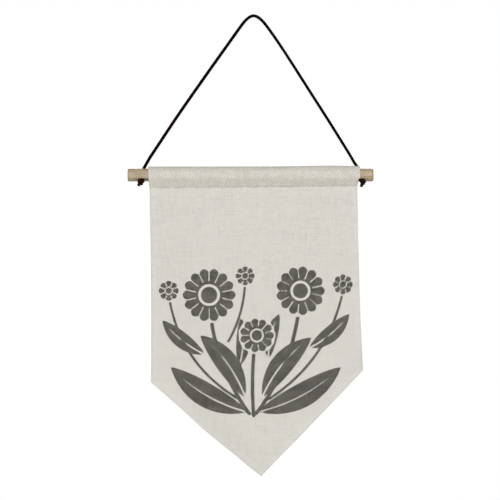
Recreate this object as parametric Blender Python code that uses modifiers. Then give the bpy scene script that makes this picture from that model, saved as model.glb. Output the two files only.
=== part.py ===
"""A small canvas pennant that hangs from a wooden dowel on a knotted cord.

One piece of plain-woven canvas is turned back over the dowel and sewn down, so that it forms a
rod pocket with a single layer hanging below it. The lower edge is cut to an off-centre point.
A cord runs over the hook, through a hole near each end of the dowel, and ends in a stopper knot.

Sizes are in millimetres until MM turns them into metres. The origin is the hook point, under
the cord where it passes over the hook. The front faces -Y and the wall is on the +Y side.
"""

import math

import bmesh
import bpy
import numpy as np
from mathutils import Matrix, Vector

MM = 0.001

# Dowel: a straight rod with sawn and sanded ends and one cross hole near each end.
DOWEL_DIAMETER = 12.0
DOWEL_SPAN = (-118.6, 112.7)
DOWEL_AXIS = (-6.1, -149.0)
DOWEL_END_ROUNDING = (1.2, 1.9)
DOWEL_SIDES = 40
HOLE_DIAMETER = 3.9
HOLE_SIDES = 24
HOLE_PLACES = (-104.5, 99.75)
# The rod is rolled in its pocket until the holes run from the upper back to the lower front.
HOLE_ROLL = math.radians(38.0)

# Canvas: one sheet, the same thickness all over.
CLOTH_THICKNESS = 1.0
WRAP_RADIUS = 6.95
LAYER_STEP = 1.5
SEAM_ALLOWANCE = 7.0
CREST_HALF_ANGLE = math.radians(52.0)
PANEL_ROWS = 22
POCKET_SIDE_ROWS = 3
WRAP_ROWS = 18
ALLOWANCE_ROWS = 2
# Columns stand closer together near the two side edges, where the cloth rolls back.
EDGE_COLUMNS = (0.0, 0.012, 0.035, 0.07)
COLUMNS_TO_TIP = 12

# Height of the pocket's top above the dowel's axis, along the dowel: (x, height).
POCKET_TOP = ((-99.0, 8.0), (-40.0, 8.05), (20.0, 8.1), (51.0, 8.55), (79.0, 8.85), (99.0, 8.5))
# Height of the pocket's seam against the dowel's axis: (x, height).
POCKET_SEAM = ((-98.0, -12.5), (0.0, -11.6), (98.0, -10.5))
# The pocket's two ends around the dowel: (degrees from the top, front positive, left x, right x).
POCKET_ENDS = (
    (-180.0, -98.0, 97.4),
    (-130.0, -98.8, 98.0),
    (-90.0, -99.0, 98.2),
    (-62.0, -99.0, 96.6),
    (-28.0, -99.0, 96.6),
    (-10.0, -99.1, 99.2),
    (8.0, -99.2, 99.8),
    (60.0, -99.4, 100.4),
    (110.0, -99.3, 100.3),
    (122.0, -99.1, 99.2),
    (133.0, -99.0, 98.4),
    (147.0, -98.8, 98.4),
    (180.0, -98.0, 97.6),
)
# The panel's side edges: (z, x).
PANEL_LEFT = (
    (-344.6, -96.8),
    (-323.0, -96.6),
    (-278.0, -96.5),
    (-233.0, -96.8),
    (-199.0, -97.4),
    (-161.0, -98.0),
)
PANEL_RIGHT = (
    (-332.9, 103.0),
    (-312.0, 102.0),
    (-289.0, 100.75),
    (-267.0, 100.0),
    (-233.0, 99.0),
    (-199.0, 98.2),
    (-161.0, 97.6),
)
# The lower edge: (x, z) of the left corner, the point and the right corner.
LEFT_CORNER = (-96.8, -344.6)
POINT = (7.0, -432.8)
RIGHT_CORNER = (103.0, -333.0)
# How far the lower edge sags below the straight lines between those: (x, sag).
LOWER_EDGE_SAG = (
    (-96.8, 0.0),
    (-80.0, 0.2),
    (-62.0, 0.9),
    (-50.0, 2.0),
    (-33.0, 1.8),
    (-16.0, 0.85),
    (-5.0, 0.8),
    (7.0, 0.0),
    (25.0, -0.1),
    (45.0, 0.45),
    (80.0, 0.5),
    (103.0, 0.2),
)

# Soft folds of the hanging panel: (upper x, z, lower x, z, half width, depth towards the wall).
FOLDS = (
    (4.0, -215.0, 14.0, -350.0, 62.0, -1.6),
    (-80.0, -200.0, -84.0, -335.0, 13.0, 0.6),
    (-34.0, -170.0, -40.0, -300.0, 12.0, 0.4),
    (66.0, -185.0, 74.0, -320.0, 15.0, 0.6),
    (-30.0, -345.0, 2.0, -425.0, 16.0, -0.9),
)
# Edges that roll back towards the wall: depth at the edge and reach into the cloth. The point's
# curl sets in along the lower left edge, the corner's comes and goes along the right edge.
POINT_CURL = (4.4, 36.0)
POINT_CURL_RANGE = (0.08, 0.6)
CORNER_CURL = (1.7, 9.0)
CORNER_CURL_RANGE = (-345.0, -325.0, -318.0, -300.0)
LEFT_ROLL = (0.5, 4.0)
# Below this stretch the panel hangs free of the seam and the rod, which hold it flat.
PANEL_FREE_RANGE = (162.0, 205.0)

# Cord: one round cord, through both holes and over the hook.
CORD_DIAMETER = 2.6
CORD_ROUTE = (
    (-104.6, -9.8, -153.7),
    (-104.5, -6.1, -149.0),
    (-104.35, -2.4, -144.3),
    (-103.2, -0.65, -141.9),
    (-101.6, 0.0, -139.0),
    (-98.3, 0.0, -133.2),
    (-93.5, 0.0, -125.8),
    (-74.8, 0.0, -97.6),
    (-55.3, 0.0, -69.4),
    (-35.4, 0.0, -41.2),
    (-19.3, 0.0, -18.6),
    (-11.4, 0.0, -7.6),
    (-6.6, 0.0, -2.0),
    (0.0, 0.0, 1.3),
    (6.6, 0.0, -2.0),
    (11.6, 0.0, -7.6),
    (19.6, 0.0, -18.6),
    (34.6, 0.0, -41.2),
    (52.6, 0.0, -69.4),
    (70.6, 0.0, -97.6),
    (88.2, 0.0, -125.8),
    (92.4, 0.0, -132.8),
    (96.1, 0.0, -139.0),
    (98.35, -0.65, -141.9),
    (99.7, -2.4, -144.3),
    (99.75, -6.1, -149.0),
    (99.75, -9.8, -153.7),
)
CORD_LONGEST_STEP = 6.5
CORD_SHORTEST_STEP = 1.5
CORD_STEP_PER_BEND = 0.3

# Stopper knots, pulled tight against the dowel at the lower mouth of each hole and seated a little
# above it. Inside a knot the cord is squeezed thinner: (name, x of the middle, x of the cord,
# half width, degrees that its three lobes are turned, lower and end points of the tail).
KNOT_ROLL = math.radians(42.0)
KNOT_STAND_OFF = 8.85
KNOT_START = 6.95
KNOT_STRAND = 2.2
KNOT_HALF_HEIGHT = 1.45
# Where the strand starts on its three-lobed path and how far it goes, in half turns' angles.
KNOT_TURN = (math.radians(75.0), math.radians(345.0))
# The loop left open in the middle, and the way from the hole to the middle before it turns.
KNOT_EYE = 0.17
KNOT_LEAD_IN = 0.6
KNOT_STEPS = 66
KNOT_VOXEL = 0.5
KNOTS = (
    ("knot_left", -105.7, -104.6, 3.45, 60.0, (-107.0, -11.8, -157.2), (-107.9, -12.0, -159.3)),
    ("knot_right", 102.4, 99.95, 3.2, 0.0, (101.8, -12.0, -157.3), (101.2, -12.3, -160.1)),
)

CANVAS_COLOUR = (0.68, 0.65, 0.60)
WOOD_COLOUR = (0.46, 0.37, 0.24)
CORD_COLOUR = (0.012, 0.007, 0.006)


def clear_scene():
    for thing in list(bpy.data.objects):
        bpy.data.objects.remove(thing)


def new_collection(name):
    collection = bpy.data.collections.new(name)
    bpy.context.scene.collection.children.link(collection)
    return collection


def new_material(name, colour, roughness):
    material = bpy.data.materials.new(name)
    material.use_nodes = True
    shader = material.node_tree.nodes["Principled BSDF"]
    shader.inputs["Base Color"].default_value = (*colour, 1.0)
    shader.inputs["Roughness"].default_value = roughness
    shader.inputs["Metallic"].default_value = 0.0
    material.diffuse_color = (*colour, 1.0)
    return material


def new_object(name, data, collection, material=None):
    thing = bpy.data.objects.new(name, data)
    collection.objects.link(thing)
    if material:
        data.materials.append(material)
    return thing


def read_table(table, at, column=1):
    """Value of a short table at a place, on straight lines between its rows."""
    return float(np.interp(at, [row[0] for row in table], [row[column] for row in table]))


def smooth_step(low, high, value):
    part = min(max((value - low) / (high - low), 0.0), 1.0)
    return part * part * (3.0 - 2.0 * part)


# ---------------------------------------------------------------- canvas


def lower_edge(x):
    """Height of the cut lower edge at a place across the panel."""
    return read_table((LEFT_CORNER, POINT, RIGHT_CORNER), x) - read_table(LOWER_EDGE_SAG, x)


def distance_to_line(x, z, start, end):
    """Distance from a place to the stretch between two points, and how far along it."""
    along = Vector((end[0] - start[0], end[1] - start[1]))
    offset = Vector((x - start[0], z - start[1]))
    part = min(max(offset.dot(along) / along.length_squared, 0.0), 1.0)
    return (offset - along * part).length, part


def hang_depth(x, z):
    """How far the panel stands towards the wall from its hanging plane."""
    depth = 0.0
    for upper_x, upper_z, lower_x, lower_z, half_width, fold_depth in FOLDS:
        away, _ = distance_to_line(x, z, (upper_x, upper_z), (lower_x, lower_z))
        depth += fold_depth * math.exp(-((away / half_width) ** 2))
    curl, reach = POINT_CURL
    away, part = distance_to_line(x, z, LEFT_CORNER, POINT)
    depth += curl * smooth_step(*POINT_CURL_RANGE, part) * max(0.0, 1.0 - away / reach) ** 2
    curl, reach = CORNER_CURL
    low, low_full, high_full, high = CORNER_CURL_RANGE
    inside = max(0.0, 1.0 - (read_table(PANEL_RIGHT, z) - x) / reach)
    depth += curl * inside**2 * smooth_step(low, low_full, z) * smooth_step(-high, -high_full, -z)
    curl, reach = LEFT_ROLL
    inside = max(0.0, 1.0 - (x - read_table(PANEL_LEFT, z)) / reach)
    depth += curl * inside**2
    return depth * smooth_step(*PANEL_FREE_RANGE, -z)


def panel_point(x, z, step_back=0.0):
    return Vector((x, DOWEL_AXIS[0] - 0.5 * LAYER_STEP + hang_depth(x, z) + step_back, z))


def pocket_section(x):
    """Front-to-back points of the pocket's mid-surface around the dowel, as (angle, y, z)."""
    seam = read_table(POCKET_SEAM, x)
    half_step = 0.5 * LAYER_STEP
    reach = math.hypot(half_step, seam)
    leave = math.acos(-WRAP_RADIUS / reach) - math.atan(half_step / -seam)
    crest = read_table(POCKET_TOP, x) - 0.5 * CLOTH_THICKNESS - WRAP_RADIUS
    wrap = []
    for row in range(WRAP_ROWS + 1):
        angle = leave * (1.0 - 2.0 * row / WRAP_ROWS)
        rise = max(0.0, 1.0 - (angle / CREST_HALF_ANGLE) ** 2) ** 2
        radius = WRAP_RADIUS + crest * rise
        wrap.append((math.degrees(angle), -radius * math.sin(angle), radius * math.cos(angle)))
    front, back = [], []
    for row in range(POCKET_SIDE_ROWS):
        part = row / POCKET_SIDE_ROWS
        turn = 180.0 + part * (wrap[0][0] - 180.0)
        y = -half_step + part * (wrap[0][1] + half_step)
        z = seam + part * (wrap[0][2] - seam)
        front.append((turn, y, z))
        back.append((-turn, -y, z))
    return front + wrap + back[::-1]


def column_fractions():
    """Places of the grid's columns across the cloth, from 0 at the left to 1 at the right."""
    tip = (POINT[0] - LEFT_CORNER[0]) / (RIGHT_CORNER[0] - LEFT_CORNER[0])
    inner = EDGE_COLUMNS[-1]
    left = [inner + (tip - inner) * i / COLUMNS_TO_TIP for i in range(1, COLUMNS_TO_TIP + 1)]
    right = [tip + (1.0 - inner - tip) * i / COLUMNS_TO_TIP for i in range(1, COLUMNS_TO_TIP + 1)]
    return list(EDGE_COLUMNS) + left + right + [1.0 - edge for edge in EDGE_COLUMNS[-2::-1]]


def canvas_column(fraction):
    """One column of the sheet, from the cut lower edge up, over the dowel and down behind."""
    bottom_x = LEFT_CORNER[0] + fraction * (RIGHT_CORNER[0] - LEFT_CORNER[0])
    seam_z = DOWEL_AXIS[1] + read_table(POCKET_SEAM, bottom_x)
    bottom_z = lower_edge(bottom_x)

    def across(z):
        left, right = read_table(PANEL_LEFT, z), read_table(PANEL_RIGHT, z)
        return left + fraction * (right - left)

    points = []
    for row in range(PANEL_ROWS):
        z = bottom_z + (seam_z - bottom_z) * row / PANEL_ROWS
        points.append(panel_point(across(z), z))
    for angle, y, z in pocket_section(bottom_x):
        left, right = read_table(POCKET_ENDS, angle), read_table(POCKET_ENDS, angle, 2)
        x = left + fraction * (right - left)
        points.append(Vector((x, DOWEL_AXIS[0] + y, DOWEL_AXIS[1] + z)))
    for row in range(1, ALLOWANCE_ROWS + 1):
        z = seam_z - SEAM_ALLOWANCE * row / ALLOWANCE_ROWS
        points.append(panel_point(across(z), z, step_back=LAYER_STEP))
    return points


def build_canvas(collection, material):
    """The canvas is an open grid, one column of points beside the next, given its thickness."""
    columns = [canvas_column(fraction) for fraction in column_fractions()]
    mesh = bmesh.new()
    rows = [[mesh.verts.new(point * MM) for point in column] for column in columns]
    for left, right in zip(rows, rows[1:]):
        for i in range(len(left) - 1):
            mesh.faces.new((left[i], right[i], right[i + 1], left[i + 1]))
    data = bpy.data.meshes.new("canvas")
    mesh.to_mesh(data)
    mesh.free()
    data.shade_smooth()
    canvas = new_object("canvas", data, collection, material)
    thickness = canvas.modifiers.new("thickness", "SOLIDIFY")
    thickness.thickness = CLOTH_THICKNESS * MM
    thickness.offset = 0.0
    thickness.use_even_offset = True
    return canvas


# ---------------------------------------------------------------- dowel


def across_dowel(roll):
    """Unit vector across the dowel, from the lower front to the upper back."""
    return Vector((0.0, math.sin(roll), math.cos(roll)))


def build_dowel(collection, cutters, material):
    length = DOWEL_SPAN[1] - DOWEL_SPAN[0]
    mesh = bmesh.new()
    bmesh.ops.create_cone(
        mesh,
        cap_ends=True,
        segments=DOWEL_SIDES,
        radius1=0.5 * DOWEL_DIAMETER * MM,
        radius2=0.5 * DOWEL_DIAMETER * MM,
        depth=length * MM,
    )
    for side, rounding in zip((-1.0, 1.0), DOWEL_END_ROUNDING):
        rim = [e for e in mesh.edges if all(v.co.z * side > 0.0 for v in e.verts)]
        bmesh.ops.bevel(
            mesh,
            geom=rim,
            offset=rounding * MM,
            offset_type="OFFSET",
            segments=3,
            profile=0.5,
            affect="EDGES",
            material=-1,
        )
    data = bpy.data.meshes.new("dowel")
    mesh.to_mesh(data)
    mesh.free()
    # The cone's -Z end becomes the left end, at -X.
    data.transform(Matrix.Rotation(math.radians(90.0), 4, "Y"))
    data.shade_smooth()
    data.set_sharp_from_angle(angle=math.radians(40.0))
    dowel = new_object("dowel", data, collection, material)
    dowel.location = Vector((sum(DOWEL_SPAN) / 2.0, *DOWEL_AXIS)) * MM

    for number, x in enumerate(HOLE_PLACES):
        drill = bmesh.new()
        bmesh.ops.create_cone(
            drill,
            cap_ends=True,
            segments=HOLE_SIDES,
            radius1=0.5 * HOLE_DIAMETER * MM,
            radius2=0.5 * HOLE_DIAMETER * MM,
            depth=2.0 * DOWEL_DIAMETER * MM,
        )
        drill_data = bpy.data.meshes.new(f"drill_{number}")
        drill.to_mesh(drill_data)
        drill.free()
        cutter = new_object(f"drill_{number}", drill_data, cutters)
        cutter.location = Vector((x, *DOWEL_AXIS)) * MM
        cutter.rotation_euler = (-HOLE_ROLL, 0.0, 0.0)
        cutter.display_type = "WIRE"
        cutter.hide_render = True
        cut = dowel.modifiers.new(f"hole_{number}", "BOOLEAN")
        cut.operation = "DIFFERENCE"
        cut.solver = "EXACT"
        cut.object = cutter
    return dowel


# ---------------------------------------------------------------- cord and knots


def smooth_curve(route):
    """Cubic curve through the route's points, with no kink and no sudden change of bend."""
    points = np.array(route, dtype=float)
    steps = np.linalg.norm(np.diff(points, axis=0), axis=1)
    marks = np.concatenate(([0.0], np.cumsum(steps)))
    count = len(points)
    system = np.eye(count)
    right = np.zeros_like(points)
    slopes = np.diff(points, axis=0) / steps[:, None]
    for i in range(1, count - 1):
        system[i, i - 1 : i + 2] = (steps[i - 1], 2.0 * (steps[i - 1] + steps[i]), steps[i])
        right[i] = 6.0 * (slopes[i] - slopes[i - 1])
    bends = np.linalg.solve(system, right)

    def at(place):
        i = int(min(max(np.searchsorted(marks, place) - 1, 0), count - 2))
        a, b, h = marks[i + 1] - place, place - marks[i], steps[i]
        ends = (points[i] * a + points[i + 1] * b) / h
        lift = bends[i] * (a**3 / h - a * h) + bends[i + 1] * (b**3 / h - b * h)
        return ends + lift / 6.0, (bends[i] * a + bends[i + 1] * b) / h

    return at, float(marks[-1])


def cord_points():
    """Points along the cord, closer together where it bends."""
    at, length = smooth_curve(CORD_ROUTE)
    places = [0.0]
    while places[-1] < length:
        bend = max(float(np.linalg.norm(at(places[-1] + ahead)[1])) for ahead in (0.0, 2.0, 4.0))
        step = CORD_STEP_PER_BEND / max(bend, 1e-6)
        places.append(places[-1] + min(max(step, CORD_SHORTEST_STEP), CORD_LONGEST_STEP))
    stretch = length / places[-1]
    return [Vector(at(place * stretch)[0]) for place in places]


def curve_tube(name, points, radius):
    """Closed round tube along points, as a poly curve with filled caps."""
    curve = bpy.data.curves.new(name, "CURVE")
    curve.dimensions = "3D"
    curve.bevel_depth = radius * MM
    curve.bevel_resolution = 2
    curve.use_fill_caps = True
    spline = curve.splines.new("POLY")
    spline.points.add(len(points) - 1)
    for place, point in zip(spline.points, points):
        place.co = (*(point * MM), 1.0)
    spline.use_smooth = True
    return curve


def build_cord(collection, material):
    curve = curve_tube("hanging_cord", cord_points(), 0.5 * CORD_DIAMETER)
    return new_object("hanging_cord", curve, collection, material)


def knot_strand(middle, cord_x, half_width, lobes):
    """Middle line of the knotted stretch: out of the hole and round through three crossings."""
    out = -across_dowel(KNOT_ROLL)
    side = Vector((1.0, 0.0, 0.0))
    up = out.cross(side)
    ring = 0.5 * half_width - KNOT_EYE * KNOT_STRAND
    wave = half_width - 0.5 * KNOT_STRAND - ring
    start = Vector((cord_x, *DOWEL_AXIS)) - across_dowel(HOLE_ROLL) * KNOT_START
    points = [start, start.lerp(middle, KNOT_LEAD_IN)]
    for step in range(KNOT_STEPS + 1):
        turn = KNOT_TURN[0] + KNOT_TURN[1] * step / KNOT_STEPS
        reach = ring + wave * math.cos(3.0 * turn)
        round_turn = 2.0 * turn + math.radians(lobes)
        flat = side * (reach * math.cos(round_turn)) + up * (reach * math.sin(round_turn))
        points.append(middle + flat + out * (KNOT_HALF_HEIGHT * math.sin(3.0 * turn)))
    return points


def build_knot(knot, collection, material):
    """A knot is its strand and the cord's full-width tail, grown together into one skin."""
    name, middle_x, cord_x, half_width, lobes, tail_low, tail_end = knot
    middle = Vector((middle_x, *DOWEL_AXIS)) - across_dowel(KNOT_ROLL) * KNOT_STAND_OFF
    strand = knot_strand(middle, cord_x, half_width, lobes)
    curve = curve_tube(name, strand, 0.5 * KNOT_STRAND)
    tail = curve.splines.new("POLY")
    tail.points.add(2)
    for place, point in zip(tail.points, (middle, Vector(tail_low), Vector(tail_end))):
        place.co = (*(point * MM), 1.0)
        place.radius = CORD_DIAMETER / KNOT_STRAND
    soft = new_object(name + "_strand", curve, collection)
    bpy.context.view_layer.update()
    graph = bpy.context.evaluated_depsgraph_get()
    data = bpy.data.meshes.new_from_object(soft.evaluated_get(graph))
    data.name = name
    bpy.data.objects.remove(soft)
    weld = bmesh.new()
    weld.from_mesh(data)
    bmesh.ops.remove_doubles(weld, verts=weld.verts, dist=1e-6)
    weld.to_mesh(data)
    weld.free()
    data.shade_smooth()
    body = new_object(name, data, collection, material)
    skin = body.modifiers.new("pulled_tight", "REMESH")
    skin.mode = "VOXEL"
    skin.voxel_size = KNOT_VOXEL * MM
    skin.use_smooth_shade = True
    return body


def main():
    clear_scene()
    banner = new_collection("canvas_wall_banner")
    cutters = new_collection("cutters")
    build_canvas(banner, new_material("canvas", CANVAS_COLOUR, 0.9))
    build_dowel(banner, cutters, new_material("wood", WOOD_COLOUR, 0.65))
    cord_material = new_material("cord", CORD_COLOUR, 0.7)
    build_cord(banner, cord_material)
    for knot in KNOTS:
        build_knot(knot, banner, cord_material)


main()
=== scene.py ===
"""Looks of a small canvas wall banner: printed cloth sewn over a wooden dowel, on a knotted cord.

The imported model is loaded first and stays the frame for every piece. Lengths are in millimetres
until MM turns them into metres; +X is to the viewer's right, +Z is up, the front faces -Y and the
origin is the hook point under the top of the cord.
"""

import math

import bmesh
import bpy
import numpy as np
from mathutils import Matrix, Vector


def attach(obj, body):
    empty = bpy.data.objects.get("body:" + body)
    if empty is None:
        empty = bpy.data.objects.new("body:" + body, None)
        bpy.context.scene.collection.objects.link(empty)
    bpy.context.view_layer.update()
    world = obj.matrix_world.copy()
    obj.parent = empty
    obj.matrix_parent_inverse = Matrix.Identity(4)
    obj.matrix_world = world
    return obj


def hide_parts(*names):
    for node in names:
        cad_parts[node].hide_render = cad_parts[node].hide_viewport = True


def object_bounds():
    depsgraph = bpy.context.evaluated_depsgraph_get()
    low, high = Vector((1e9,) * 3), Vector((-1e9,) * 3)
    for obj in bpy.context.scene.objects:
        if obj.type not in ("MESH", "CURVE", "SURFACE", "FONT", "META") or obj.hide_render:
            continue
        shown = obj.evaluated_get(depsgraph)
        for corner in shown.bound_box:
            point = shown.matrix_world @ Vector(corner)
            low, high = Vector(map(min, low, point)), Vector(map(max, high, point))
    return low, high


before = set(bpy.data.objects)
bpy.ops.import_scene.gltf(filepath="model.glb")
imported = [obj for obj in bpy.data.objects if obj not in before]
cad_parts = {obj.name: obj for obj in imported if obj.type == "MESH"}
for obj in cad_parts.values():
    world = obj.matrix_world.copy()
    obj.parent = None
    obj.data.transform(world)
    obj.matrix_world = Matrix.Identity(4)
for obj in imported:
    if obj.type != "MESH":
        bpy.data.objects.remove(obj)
cad_low, cad_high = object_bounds()
MM = 0.001

# ---------------------------------------------------------------- camera, light and floor
# The banner hangs face on to a long lens. Pale surroundings light it from all sides, a wide soft
# lamp by the lens lights its face and a smaller one its wall side, and a plain floor lies below.

VIEW_CENTRE = Vector((-3.48, -7.0, -219.6)) * MM
VIEW_WIDTH = 470.8 * MM
LENS_DISTANCE = 4000.0 * MM
SENSOR_WIDTH = 36.0
FLOOR_DROP = 260.0 * MM
FLOOR_RADIUS = 900.0 * MM
# (name, place and width in metres, watts)
LAMPS = (
    ("face_lamp", (0.1, -3.4, 0.8), 1.4, 104.3),
    ("wall_side_lamp", (0.0, 1.9, 0.6), 0.8, 24.0),
)
SEEN_GLOW = 1.0
ROOM_GLOW = 0.18

scene = bpy.context.scene
lens = bpy.data.cameras.new("long_lens")
lens.sensor_width = SENSOR_WIDTH
lens.lens = SENSOR_WIDTH * LENS_DISTANCE / VIEW_WIDTH
viewer = bpy.data.objects.new("viewer", lens)
viewer.location = VIEW_CENTRE - Vector((0.0, LENS_DISTANCE, 0.0))
viewer.rotation_euler = (math.radians(90.0), 0.0, 0.0)
scene.collection.objects.link(viewer)
scene.camera = viewer
scene.view_settings.view_transform = "Standard"

for lamp_name, lamp_place, width, watts in LAMPS:
    lamp_data = bpy.data.lights.new(lamp_name, "AREA")
    lamp_data.size = width
    lamp_data.energy = watts
    lamp = bpy.data.objects.new(lamp_name, lamp_data)
    lamp.location = lamp_place
    lamp.rotation_euler = (VIEW_CENTRE - Vector(lamp_place)).to_track_quat("-Z", "Y").to_euler()
    scene.collection.objects.link(lamp)

# The banner is seen against plain white, but only a weaker glow of the room lights it.
surroundings = bpy.data.worlds.new("pale_surroundings")
surroundings.use_nodes = True
nodes, links = surroundings.node_tree.nodes, surroundings.node_tree.links
seen_glow = nodes["Background"]
seen_glow.inputs["Color"].default_value = (1.0, 1.0, 1.0, 1.0)
seen_glow.inputs["Strength"].default_value = SEEN_GLOW
room_glow = nodes.new("ShaderNodeBackground")
room_glow.inputs["Color"].default_value = (1.0, 1.0, 1.0, 1.0)
room_glow.inputs["Strength"].default_value = ROOM_GLOW
ray = nodes.new("ShaderNodeLightPath")
choose = nodes.new("ShaderNodeMixShader")
links.new(ray.outputs["Is Camera Ray"], choose.inputs["Fac"])
links.new(room_glow.outputs["Background"], choose.inputs[1])
links.new(seen_glow.outputs["Background"], choose.inputs[2])
links.new(choose.outputs["Shader"], nodes["World Output"].inputs["Surface"])
scene.world = surroundings

floor_mesh = bmesh.new()
bmesh.ops.create_circle(floor_mesh, cap_ends=True, segments=96, radius=FLOOR_RADIUS)
bmesh.ops.translate(floor_mesh, verts=floor_mesh.verts, vec=(0.0, 0.0, cad_low.z - FLOOR_DROP))
floor_data = bpy.data.meshes.new("floor")
floor_mesh.to_mesh(floor_data)
floor_mesh.free()
floor = bpy.data.objects.new("floor", floor_data)
scene.collection.objects.link(floor)


def new_finish(name):
    """New material, with its node tree and its shader."""
    material = bpy.data.materials.new(name)
    material.use_nodes = True
    return material, material.node_tree, material.node_tree.nodes["Principled BSDF"]


floor_paint, _, floor_shader = new_finish("pale_floor")
floor_shader.inputs["Base Color"].default_value = (0.8, 0.8, 0.79, 1.0)
floor_shader.inputs["Roughness"].default_value = 0.9
floor_data.materials.append(floor_paint)

# ---------------------------------------------------------------- hanging cord
# A near-black brown cord, braided round and waxed. It comes up out of a hole near each end of the
# dowel, at the back, and passes over the hook.

CORD_DIAMETER = 2.9
# The braid is a little fuller to the left of the hook: (x, share of the diameter).
CORD_FULLNESS = ((-90.0, 1.05), (-20.0, 1.05), (20.0, 0.96), (90.0, 0.95))
CORD_ROUTE = (
    (-104.6, -9.8, -153.7),
    (-104.5, -6.1, -149.0),
    (-104.35, -2.4, -144.3),
    (-103.2, -0.65, -141.9),
    (-101.6, 0.0, -139.0),
    (-98.3, 0.0, -133.2),
    (-93.5, 0.0, -125.8),
    (-74.8, 0.0, -97.6),
    (-55.3, 0.0, -69.4),
    (-35.4, 0.0, -41.2),
    (-19.3, 0.0, -18.6),
    (-11.4, 0.0, -7.6),
    (-6.6, 0.0, -2.0),
    (0.0, 0.0, 1.3),
    (6.6, 0.0, -2.0),
    (11.6, 0.0, -7.6),
    (19.6, 0.0, -18.6),
    (34.6, 0.0, -41.2),
    (52.6, 0.0, -69.4),
    (70.6, 0.0, -97.6),
    (88.2, 0.0, -125.8),
    (92.4, 0.0, -132.8),
    (96.1, 0.0, -139.0),
    (98.35, -0.65, -141.9),
    (99.7, -2.4, -144.3),
    (99.75, -6.1, -149.0),
    (99.75, -9.8, -153.7),
)
CORD_STEP = 1.2
CORD_SIDES = 20
# The braid: strands each way round, and the length of cord in which one strand goes round once.
BRAID_STRANDS = 6.0
BRAID_LAY = 3.4
# Braid colours: the first is painted shade in its valleys, the second its crowns.
WAXED_BROWN = ((0.0028, 0.0009, 0.0006), (0.0056, 0.0019, 0.0014))


def smooth_route(route, step):
    """Points at even steps on the natural cubic curve through a route's points."""
    points = np.array(route, dtype=float)
    steps = np.linalg.norm(np.diff(points, axis=0), axis=1)
    marks = np.concatenate(([0.0], np.cumsum(steps)))
    count = len(points)
    system = np.eye(count)
    right = np.zeros_like(points)
    slopes = np.diff(points, axis=0) / steps[:, None]
    for i in range(1, count - 1):
        system[i, i - 1 : i + 2] = (steps[i - 1], 2.0 * (steps[i - 1] + steps[i]), steps[i])
        right[i] = 6.0 * (slopes[i] - slopes[i - 1])
    bends = np.linalg.solve(system, right)
    found = []
    for place in np.linspace(0.0, marks[-1], int(marks[-1] / step) + 1):
        i = int(min(max(np.searchsorted(marks, place) - 1, 0), count - 2))
        a, b, h = marks[i + 1] - place, place - marks[i], steps[i]
        lift = bends[i] * (a**3 / h - a * h) + bends[i + 1] * (b**3 / h - b * h)
        found.append(Vector((points[i] * a + points[i + 1] * b) / h + lift / 6.0))
    return found


def finish_piece(name, mesh, material):
    """Makes a piece of a mesh that is in metres, gives it its finish and hangs it on the part."""
    data = bpy.data.meshes.new(name)
    mesh.to_mesh(data)
    mesh.free()
    data.shade_smooth()
    data.materials.append(material)
    piece = bpy.data.objects.new(name, data)
    scene.collection.objects.link(piece)
    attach(piece, "root")
    return piece


def cord_tube(points, radii):
    """Round tube of cord: one ring is pushed out along the points, then both ends are closed.

    Its map holds the turn around the cord, from 0 to 1, and the length along it in metres.
    """
    mesh = bmesh.new()
    around = mesh.verts.layers.float.new("around")
    along = mesh.verts.layers.float.new("along")
    tangents = []
    for i in range(len(points)):
        ahead, behind = points[min(i + 1, len(points) - 1)], points[max(i - 1, 0)]
        tangents.append((ahead - behind).normalized())
    turned = Vector((0.0, 0.0, 1.0)).rotation_difference(tangents[0]).to_matrix()
    ring = bmesh.ops.create_circle(mesh, segments=CORD_SIDES, radius=1.0)["verts"]
    for number, vert in enumerate(ring):
        vert[around] = number / CORD_SIDES
    place = Matrix.Translation(points[0] * MM) @ turned.to_4x4() @ Matrix.Scale(radii[0] * MM, 4)
    bmesh.ops.transform(mesh, verts=ring, matrix=place)
    edges = list(mesh.edges)
    length = 0.0
    for i in range(1, len(points)):
        turned = tangents[i - 1].rotation_difference(tangents[i]).to_matrix() @ turned
        new_place = Matrix.Translation(points[i] * MM) @ turned.to_4x4()
        new_place = new_place @ Matrix.Scale(radii[i] * MM, 4)
        length += (points[i] - points[i - 1]).length * MM
        made = bmesh.ops.extrude_edge_only(mesh, edges=edges)["geom"]
        verts = [g for g in made if isinstance(g, bmesh.types.BMVert)]
        fresh = set(verts)
        edges = [
            g
            for g in made
            if isinstance(g, bmesh.types.BMEdge) and all(v in fresh for v in g.verts)
        ]
        bmesh.ops.transform(mesh, verts=verts, matrix=new_place @ place.inverted())
        for vert in verts:
            vert[along] = length
        place = new_place
    tube_map = mesh.loops.layers.uv.new("cord")
    for face in mesh.faces:
        wraps = max(v[around] for v in face.verts) - min(v[around] for v in face.verts) > 0.5
        for loop in face.loops:
            turn = loop.vert[around] + (1.0 if wraps and loop.vert[around] < 0.5 else 0.0)
            loop[tube_map].uv = (turn, loop.vert[along])
    bmesh.ops.holes_fill(mesh, edges=[e for e in mesh.edges if e.is_boundary], sides=CORD_SIDES)
    bmesh.ops.recalc_face_normals(mesh, faces=mesh.faces)
    return mesh


def node(tree, kind, **settings):
    """New node of a material, with its settings; inputs holds a value or a link for each socket."""
    made = tree.nodes.new(kind)
    for key, value in settings.items():
        if key == "inputs":
            for socket, held in value.items():
                if isinstance(held, bpy.types.NodeSocket):
                    tree.links.new(held, made.inputs[socket])
                else:
                    made.inputs[socket].default_value = held
        else:
            setattr(made, key, value)
    return made


def maths(tree, operation, first, second=0.0, third=0.0):
    """Output of one Math node."""
    held = {0: first, 1: second, 2: third}
    return node(tree, "ShaderNodeMath", operation=operation, inputs=held).outputs[0]


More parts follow.
